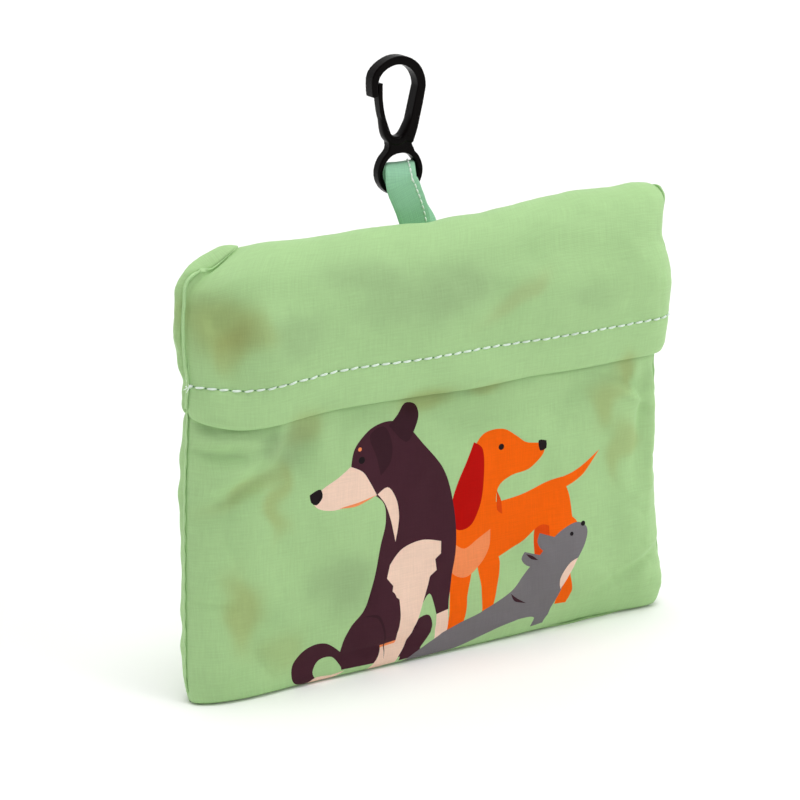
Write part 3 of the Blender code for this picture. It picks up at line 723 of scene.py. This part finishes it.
def hood_surface(s, t):
    """The hood's cloth: s across from -half to half, t from its inner hem round to its back edge."""
    across, deep = front_cut(s)
    row = track(HOOD_TABLE, t)
    middle, left, right = row[..., 0:2], row[..., 2:5], row[..., 5:8]
    place = (across + 1) / 2
    x = left[..., 0] + (right[..., 0] - left[..., 0]) * place
    end = np.where((across < 0)[..., None], left[..., 1:], right[..., 1:])
    yz = end + (middle - end) * deep[..., None]
    top = past(9, 12, t) * (1 - past(15, 17, t))
    yz[..., 1] += track(CREST_LIFT, x) * top * step(0, 0.5, deep)
    hem = 1 - past(5, 8, t)
    yz[..., 1] += track(HEM_DIP, x) * hem * step(0, 0.5, deep)
    out = hood_relief(x, yz[..., 1], t) * step(0.0, 0.35, deep)
    tilt = np.clip((t - HOOD_KEYS[8]) / (HOOD_KEYS[13] - HOOD_KEYS[8]), 0, 2) * math.pi / 2
    yz[..., 0] -= out * np.cos(tilt)
    yz[..., 1] += out * np.sin(tilt)
    return np.stack([x, yz[..., 0], yz[..., 1]], -1)


HOOD_FOLDS = (
    (-2.4, (-63, 102), (6, 9), 10), (-1.8, (-61, 90), (3.0, 9), -18), (1.0, (-54, 99), (5, 12), 10),
    (0.9, (-67.5, 96), (1.8, 12), 0), (1.3, (-62, 110.5), (5, 2.4), 14), (0.8, (-46, 112), (14, 4), 0),
    (-0.7, (20, 108), (14, 4), 0),
    (-0.6, (-20, 92), (16, 5), 8), (0.5, (-32, 98), (10, 8), 0), (-0.7, (14, 98), (9, 5), -20),
    (0.6, (40, 112), (16, 4), -4), (-0.8, (66, 107), (5, 3.5), 0), (0.8, (66, 96), (6, 8), 0),
    (-0.8, (56, 88), (14, 3), 6), (-0.5, (36, 92), (12, 4), 10), (0.5, (6, 112), (10, 4), 0),
)


def hood_relief(x, z, t):
    """Folds and hollows of the hood, in mm outwards."""
    seam = t - HOOD_KEYS[STITCH_STATION]
    t = np.abs(t)
    fade = 1 - past(16, 18, t)
    outer = past(4, 7, t)
    out = 0.35 * ripple(x, z, 9, 20, 60) + 0.07 * ripple(x, z, 10, 6, 16)
    out = out + folds(x, z, HOOD_FOLDS) - 2.2 * step(-40, -72, x)
    out = out - crumple(x, z + 40, 61) * (0.08 + 0.35 * step(50, 68, np.abs(x)))
    out = out * outer * fade
    out = out - 0.30 * np.exp(-(seam / 0.6) ** 2)
    out = out + 0.12 * ripple(x, seam, 12, 5, 12) * np.exp(-(seam / 2.5) ** 2)
    wave = 0.40 * ripple(x, x * 0, 13, 16, 48)
    return out + wave * (1 - past(4, 7, t))


def make_hood():
    stretches = ((HOOD_KEYS[0], HOOD_KEYS[2], 7), (HOOD_KEYS[2], HOOD_KEYS[4], 9),
                 (HOOD_KEYS[4], HOOD_KEYS[6] - 2, 7), (HOOD_KEYS[6] - 2, HOOD_KEYS[6] + 2, 15),
                 (HOOD_KEYS[6] + 2, HOOD_KEYS[18], 48))
    t = np.unique(np.concatenate([np.linspace(*stretch) for stretch in stretches]))
    s = spread(FRONT_WIDTH, 161, 0.6)
    return thicken(grid_piece("hood_cloth", hood_surface, s, t, [GREEN], cloth_tint))


# Hood ends, by hood station: the ridge that stands out beyond the seam, and the edge on the back.
LEFT_END = (
    (4, -70.2, 2.4, 78.2, -66.5, 8.8, 78.0), (5, -70.3, 2.4, 80.9, -66.0, 9.2, 81.0),
    (6, -69.9, 2.6, 84.6, -65.0, 9.6, 84.8), (7, -71.2, 2.8, 90.5, -63.5, 9.9, 90.0),
    (8, -72.0, 3.0, 96.4, -63.5, 9.9, 96.0), (9, -72.0, 3.2, 101.8, -63.0, 9.9, 100.5),
    (10, -71.3, 3.4, 106.4, -61.0, 9.9, 104.2), (11, -69.6, 3.8, 110.6, -59.5, 9.6, 107.0),
    (12, -66.7, 4.2, 113.6, -57.5, 9.3, 109.6), (13, -62.2, 4.6, 115.8, -55.5, 8.6, 112.2),
    (14, -56.8, 5.0, 117.3, -53.0, 7.2, 114.6), (15, -53.0, 5.6, 116.6, -52.0, 6.4, 115.2),
)
RIGHT_END = (
    (4, 71.2, 2.4, 76.4, 67.0, 8.8, 76.4), (5, 71.8, 2.4, 79.8, 66.5, 9.2, 79.8),
    (6, 72.0, 2.6, 84.3, 65.5, 9.6, 84.3), (7, 73.6, 2.8, 90.0, 64.0, 9.9, 90.0),
    (8, 74.0, 3.0, 95.6, 64.0, 9.9, 95.6), (9, 73.2, 3.2, 101.2, 64.0, 9.9, 100.5),
    (10, 72.0, 3.4, 106.2, 64.5, 9.9, 104.2), (11, 72.4, 4.0, 111.4, 65.5, 9.6, 107.0),
    (12, 72.6, 4.4, 115.4, 66.0, 9.3, 109.6), (13, 71.6, 5.0, 117.2, 66.5, 8.8, 112.0),
    (14, 69.9, 5.8, 116.9, 67.0, 8.0, 113.6), (15, 68.2, 7.0, 115.2, 67.0, 7.8, 114.4),
)


def make_hood_end(name, table, column, sign):
    """One end of the hood: cloth from the front's side seam, round the side, onto the back."""
    station = np.linspace(4, 15, 90)
    seam = track(HOOD_TABLE, station_key(station))[..., column:column + 3]
    rows = track(table, station)
    ridge, back = rows[..., 0:3], rows[..., 3:6]
    share = np.linspace(0, 1, 22) ** 0.8

    def surface(q, k):
        at = np.rint((k - station[0]) / (station[-1] - station[0]) * (len(station) - 1)).astype(int)
        a, m, b = seam[at] + [sign * -0.25, 0.25, -0.1], ridge[at], back[at]
        handle = 2 * m - (a + b) / 2
        q = q[..., None]
        out = (1 - q) ** 2 * a + 2 * q * (1 - q) * handle + q * q * b
        crimp = 0.30 * ripple(k * 5, q[..., 0] * 12, 15, 5, 14) - 0.35 * crumple(k * 6, q[..., 0] * 14, 71)
        out[..., 0] += sign * crimp * np.sin(math.pi * q[..., 0]) ** 0.5
        return out

    aa, kk = np.meshgrid(share, station)
    points = surface(aa, kk)
    flat = np.stack([aa * 14.0, station_key(kk)], -1)
    piece = make_piece(name, points, grid_faces(len(station), len(share)), [GREEN], flat,
                       tint=cloth_tint(points))
    return thicken(piece, offset=1.0 if sign < 0 else -1.0)


def make_hood_stitching():
    """The pale row of stitches above the hem, with a tack and two loose ends at its left."""
    pitch = 3.0
    s = np.arange(-FRONT_WIDTH / 2 + 1.5, FRONT_WIDTH / 2 - 1.0, pitch)
    key = HOOD_KEYS[STITCH_STATION]
    here, ahead, above, below = (hood_surface(s + over, np.full(s.shape, key + up))
                                 for over, up in ((0, 0), (0.2, 0), (0, 1.2), (0, -1.2)))
    along = unit(ahead - here)
    out = unit(np.cross(along, above - below))
    row = stitches("hood_stitches", here + out * 0.24, along, out, 2.6, 0.31, [PALE_THREAD])
    half_on = hood_surface(s[:-1] + pitch / 2, np.full(len(s) - 1, key))
    # Dark capsules midway between the stitches paint the shade in the gaps where the thread goes under.
    gap_shade = stitches("hood_stitch_gap_shade", half_on, along[:-1], out[:-1], 0.9, 0.20, [GAP_SHADE_THREAD], 0)
    lean = np.radians([58, -64, 28])[:, None]
    across = np.cross(out[:1], along[:1])
    ends = unit(along[:1] * np.cos(lean) + across * np.sin(lean))
    tack = stitches("hood_thread_ends", here[:1] + out[:1] * 0.42 - ends * 0.6, ends, np.tile(out[0], (3, 1)),
                    2.8, 0.13, [PALE_THREAD], 0)
    return [row, gap_shade, tack]


def make_hood_rim(name, column, sign):
    """The folded edge of the hood's front where it joins its side."""
    station = np.linspace(4.5, 13.9, 110)
    taper = np.clip((13.9 - station) / 1.2, 0.15, 1)
    seam = track(HOOD_TABLE, station_key(station))[..., column:column + 3]
    ahead = unit(np.gradient(seam, axis=0))
    side = unit(np.cross(ahead, [sign, 0.0, 0.0]))
    wave = 0.10 * ripple(station * 6, station * 0, 81, 4, 11)
    seam = seam + [sign * 0.25, 0.0, 0.0] + side * (0.15 + wave[:, None])
    # The rim's lighter green paints its highlight.
    return sweep(name, seam, side, np.cross(side, ahead), 0.65 * taper, 0.30 * taper, [GREEN_RIM_HIGHLIGHT], 10)


# -------- hang loop and hook

HOOK_Y = 13.5
BIGHT_Z = 126.7
BIGHT_RADIUS = 3.5
FRONT_LEG = ((9.9, 107.4, 2.2), (9.9, 110.3, 2.0), (9.85, 114.3, 1.6), (9.9, 119.0, 0.3),
             (10.0, 123.5, -1.5), (10.0, BIGHT_Z, -2.7))
BACK_LEG = ((17.0, BIGHT_Z, 0.4), (16.6, 122.6, 1.9), (14.6, 118.0, 3.2), (12.2, 114.3, 4.5),
            (11.0, 110.3, 5.0), (10.7, 107.6, 5.0))


def tape_route(count=70):
    """The tape's middle line: up the front leg, over the bight in the eye, and down the back leg."""
    turn = np.radians(np.linspace(180, 0, 13))[1:-1]
    bight = [(HOOK_Y + BIGHT_RADIUS * math.cos(a), BIGHT_Z + BIGHT_RADIUS * math.sin(a),
              -1.2 + 1.5 * math.cos(a)) for a in turn]
    line = np.array(FRONT_LEG + tuple(bight) + BACK_LEG)[:, [2, 0, 1]]
    keys = distances(line)
    return track(np.column_stack([keys, line]), np.linspace(0, keys[-1], count))


def make_tape():
    line = tape_route()
    ahead = unit(np.gradient(line, axis=0))
    side = np.tile([1.0, 0.0, 0.0], (len(line), 1))
    side = unit(side - ahead * np.sum(side * ahead, axis=1, keepdims=True))
    up = np.cross(side, ahead)
    width = np.interp(line[:, 2], [107, 112, 118, 124, 128, 131], [4.2, 4.5, 4.7, 4.8, 4.5, 3.8])
    tape = sweep("hang_loop", line, side, up, width, 0.5, [TAPE_MINT], 18)
    rise = line[:, 2]
    front = (np.arange(len(line)) < len(line) // 2 + 4) & (rise > 108.5)
    picks = np.where(front)[0][::2]
    edge = side[picks] * (width[picks] - 1.7)[:, None]
    seam = stitches("hang_loop_stitches", line[picks] + edge + up[picks] * 0.58, ahead[picks], up[picks],
                    1.6, 0.25, [PALE_THREAD], 0.05)
    return tape, seam


def hook_shape(points, name):
    """The hook's plain solids, given the fuller ring, broad neck and long gate root of the real one."""
    x, y, z = points.T.copy()
    if name == "snap_hook_gate":
        root = 1 - step(138, 143, z)
        z = z - 1.6 * root
        x = x + 0.5 * root
    left = step(2.0, 8.0, -1.65 - x)
    grow = 1 + 0.05 * (1 - step(133, 137, z)) + 0.12 * np.exp(-((z - 134.6) / 2.0) ** 2)
    x = -1.60 + (x + 1.65) * grow - 0.7 * left * np.exp(-((z - 154.5) / 3.0) ** 2)
    x = x - 0.9 * step(0.5, 3.0, x) * np.exp(-((z - 136.0) / 1.7) ** 2)
    y = HOOK_Y + (y - HOOK_Y) * 1.15
    z = z + 0.7 * step(146, 156, z)
    return np.stack([x, y, z], -1)


CRADLE = ((-6.8, 143.6, 0.5, 1.2), (-6.3, 140.8, 0.7, 1.4), (-5.4, 138.4, 1.0, 1.7),
          (-4.1, 137.0, 1.2, 1.85), (-2.7, 136.6, 1.2, 1.85), (-1.3, 136.8, 1.2, 1.85),
          (-0.1, 137.8, 1.2, 1.85), (1.0, 139.6, 1.15, 1.85), (2.2, 142.2, 1.05, 1.8),
          (3.1, 145.5, 0.7, 1.6))


def hook_cradle():
    """The round bottom of the hook's opening, from the gate's root to the far leg, and hidden in both:
    (x, z, half width, half depth)."""
    keys = np.arange(len(CRADLE))
    x, z, width, deep = track(np.column_stack([keys, CRADLE]), np.linspace(0, keys[-1], 50)).T
    centre = np.stack([x, np.full(x.shape, HOOK_Y), z], -1)
    across = np.tile([0.0, 1.0, 0.0], (len(x), 1))
    side = np.cross(unit(np.gradient(centre, axis=0)), across)
    return sweep("cradle", centre, side, across, width, deep, [BLACK], 24)


def moulded(name, node, voxel, passes, *added):
    """A moulded part from its CAD solid and added bars, with every edge softly rounded."""
    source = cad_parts[node]
    plain = source.data.copy()
    plain.transform(source.matrix_world)
    points = hook_shape(np.array([vertex.co for vertex in plain.vertices]) / MM, name)
    faces = [list(face.vertices) for face in plain.polygons]
    for bar in added:
        faces += [[i + len(points) for i in face.vertices] for face in bar.data.polygons]
        points = np.vstack([points, np.array([vertex.co for vertex in bar.data.vertices]) / MM])
        bpy.data.objects.remove(bar)
    piece = make_piece(name, points, faces, [BLACK])
    remesh = piece.modifiers.new("remesh", "REMESH")
    remesh.mode = "VOXEL"
    remesh.voxel_size = voxel * MM
    relax = piece.modifiers.new("relax", "SMOOTH")
    relax.factor = 0.5
    relax.iterations = passes
    apply_modifiers(piece)
    piece.data.shade_smooth()
    return piece


# -------- folded tote

TOTE_HALF = 65.0
TOTE_Y = 0.65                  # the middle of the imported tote's depth, towards which its sides thin out
STRIP_THICK = 0.9              # seams, hems and straps are several layers of cloth
TOTE_RUN = ((-3.7, 15.5), (-3.8, 60), (-3.9, 104.0), (-3.4, 107.0), (-1.9, 108.2), (-0.2, 107.0),
            (0.5, 104.0), (0.6, 60), (0.7, 12.0), (1.4, 8.9), (3.15, 7.9), (4.9, 8.9), (5.6, 12.0),
            (5.7, 60), (5.6, 97.4))


def squeezed(x, y):
    return TOTE_Y + (y - TOTE_Y) * (1 - 0.35 * np.abs(x / TOTE_HALF) ** 4)


def make_tote_layer(name, offset, seed):
    """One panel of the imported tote, folded to and fro inside the pouch."""
    keys = distances(np.array(TOTE_RUN))
    run = np.column_stack([keys, TOTE_RUN])

    def surface(s, t):
        yz = track(run, t)
        tangent = unit(track(run, t + 0.5) - track(run, t - 0.5))
        wave = 0.12 * ripple(s, t, seed, 14, 40)
        y = squeezed(s, yz[..., 0] - tangent[..., 1] * (offset + wave))
        sag = 0.5 * ripple(s, s * 0, seed + 1, 30, 70) * step(60, 108, yz[..., 1])
        z = yz[..., 1] + tangent[..., 0] * offset + sag
        return np.stack([s * (0.985 - 0.06 * step(85, 103, z)), y, z], -1)

    piece = grid_piece(name, surface, spread(2 * TOTE_HALF, 60, 1.0), np.linspace(0, keys[-1], 150),
                       [TOTE_GREEN])
    return thicken(piece), keys[-1]


def tote_strip(name, y, low, high, half, middle=0.0, seed=30):
    """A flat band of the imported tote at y: a seam, an opening's hem or a strap."""
    def surface(s, t):
        sway = 0.25 * ripple(s, t, seed, 20, 60)
        return np.stack([s + middle, squeezed(s + middle, y) + sway * 0.3, t + sway], -1)
    return thicken(grid_piece(name, surface, np.linspace(-half, half, 40), np.linspace(low, high, 30),
                              [TOTE_GREEN]), STRIP_THICK)


# -------- assembly


def place(piece, body, slot, *nodes):
    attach(piece, body)
    if nodes:
        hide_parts(*nodes)
    return piece


def bend(piece, bodies, start, end, slot, *nodes):
    """A piece baked in place, with the CAD nodes it stands for hidden; bodies, start and end are not used."""
    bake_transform(piece)
    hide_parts(*nodes)
    return piece


def build_pouch():
    front, back, foot, hem, left, right = (
        place(piece, "pouch", "pouch_fabric", node) for piece, node in (
            (make_front(), "pouch_front_panel"), (make_back(), "pouch_back_panel"),
            (make_floor(), "pouch_floor"), (make_mouth_hem(), "pouch_mouth_hem"),
            (make_welt("left_welt", -1), "left_side_seam"), (make_welt("right_welt", 1), "right_side_seam")))


def build_hood():
    cloth = bend(make_hood(), ("pouch", "hood"), (0, 9.9, 105.0), (0, 7.9, 105.4), "pouch_fabric",
                 "hood_panel", "hood_hem_fold")
    parts = []
    for side, table, column, sign in (("left", LEFT_END, LEFT_COLUMN, -1),
                                      ("right", RIGHT_END, RIGHT_COLUMN, 1)):
        end = make_hood_end("hood_" + side + "_side", table, column, sign)
        parts.append(place(end, "hood", "pouch_fabric", "hood_" + side + "_end"))
        parts.append(place(make_hood_rim("hood_" + side + "_rim", column, sign), "hood", "pouch_fabric"))
    row, gap_shade, tack = make_hood_stitching()
    parts += [place(row, "hood", "thread", "hood_topstitch"), place(gap_shade, "hood", "thread"),
              place(tack, "hood", "thread")]


def build_hook():
    tape, seam = (
        bend(piece, ("hood", "loop"), (0, 10, 108.5), (0, 10, 113.0), slot, node)
        for piece, slot, node in zip(make_tape(), ("loop_tape", "thread"), ("loop_tape", "loop_stitching")))
    place(moulded("snap_hook", "hook_body", 0.16, 10, hook_cradle()), "hook", "hook_plastic", "hook_body")
    bend(moulded("snap_hook_gate", "hook_gate", 0.11, 8), ("hook", "gate"), (0, 0, 137.6), (0, 0, 142.0),
         "hook_plastic", "hook_gate")


def build_tote():
    front, run = make_tote_layer("tote_front_layer", 1.05, 41)
    back, run = make_tote_layer("tote_back_layer", -0.35, 44)
    for piece, node in (
            (front, "tote_front_panel"), (back, "tote_back_panel"),
            (tote_strip("tote_foot_seam", -4.9, 5.4, 15.0, 64.5), "tote_bottom_seam"),
            (tote_strip("tote_front_opening", 4.6, 98.2, 107.6, 60.5, seed=32), "tote_front_hem"),
            (tote_strip("tote_back_opening", 6.1, 98.2, 107.6, 60.5, seed=33), "tote_back_hem"),
            (tote_strip("tote_front_strap", -1.8, 17.0, 96.0, 12.3, -28.0), "tote_front_handle"),
            (tote_strip("tote_back_strap", 3.1, 17.0, 96.0, 12.3, 28.0), "tote_back_handle")):
        place(piece, "pouch", "tote_fabric", node)


# -------- stage

CAMERA_AIM = (-0.00881, 0.0, 0.0710)
CAMERA_TURN = math.radians(30.0)       # how far round to the object's left the camera stands
CAMERA_RISE = math.radians(17.3)
CAMERA_DISTANCE = 0.767
BRIGHT_SIDE = (-0.25, 0.97, 0.0)       # the studio's white wall stands behind the object
WALL_LIGHT = (0.12, 0.85)              # how bright the room is in front of the object and behind it
FLOOR_HALF = 4.0


def add_and_aim(name, data, place, target):
    item = bpy.data.objects.new(name, data)
    item.location = place
    item.rotation_euler = (item.location - Vector(target)).to_track_quat("Z", "Y").to_euler()
    scene.collection.objects.link(item)
    return item


def make_camera():
    data = bpy.data.cameras.new("camera")
    data.lens = 133.0
    data.sensor_width = 36.0
    level = math.cos(CAMERA_RISE)
    away = Vector((-math.sin(CAMERA_TURN) * level, -math.cos(CAMERA_TURN) * level, math.sin(CAMERA_RISE)))
    place = Vector(CAMERA_AIM) + away * CAMERA_DISTANCE
    scene.camera = add_and_aim("camera", data, place, CAMERA_AIM)


def make_light(name, kind, place, target, energy, size):
    data = bpy.data.lights.new(name, kind)
    data.energy = energy
    if kind == "SUN":
        data.angle = math.radians(size)
    else:
        data.shape = "DISK"
        data.size = size
    add_and_aim(name, data, place, target)


def make_floor_plane():
    n = Nodes(bpy.data.materials.new("floor_white"))
    uneven = n.noise(n.add("TexCoord").outputs["Object"], 3.0)
    white = n.times((0.95, 0.95, 0.94, 1.0), n.range(uneven, 0.3, 0.7, 0.99, 1.0))
    n.finish(Base_Color=white, Roughness=0.9, Specular_IOR_Level=0.1)
    corners = [(x * FLOOR_HALF, y * FLOOR_HALF, 0) for x, y in ((-1, -1), (1, -1), (1, 1), (-1, 1))]
    mesh = bpy.data.meshes.new("floor")
    mesh.from_pydata(corners, [], [(0, 1, 2, 3)])
    mesh.materials.append(n.owner)
    floor = bpy.data.objects.new("floor", mesh)
    scene.collection.objects.link(floor)


def make_studio():
    """A white room, brighter behind the object, with soft lights above, in front and at the right."""
    w = Nodes(bpy.data.worlds.new("studio"))
    towards = w.add("TexCoord").outputs["Generated"]
    facing = w.add("VectorMath", {0: towards, 1: BRIGHT_SIDE}, operation="DOT_PRODUCT")
    strength = w.range(facing.outputs["Value"], -0.7, 0.7, *WALL_LIGHT, interpolation_type="SMOOTHSTEP")
    scene.world = w.finish("Background", Color=(1.0, 1.0, 1.0, 1.0), Strength=strength)
    scene.view_settings.view_transform = "Standard"
    make_light("overhead", "SUN", (0.0, -0.16, 1.6), (0, 0, 0), 1.74, 32)
    make_light("front_key", "SUN", (0.62, -1.0, 0.72), (0, 0, 0), 0.67, 26)
    make_light("right_fill", "AREA", (0.50, -0.20, 0.30), (0.03, 0, 0.07), 0.6, 0.30)


make_camera()
make_floor_plane()
make_studio()
build_pouch()
build_hood()
build_hook()
build_tote()
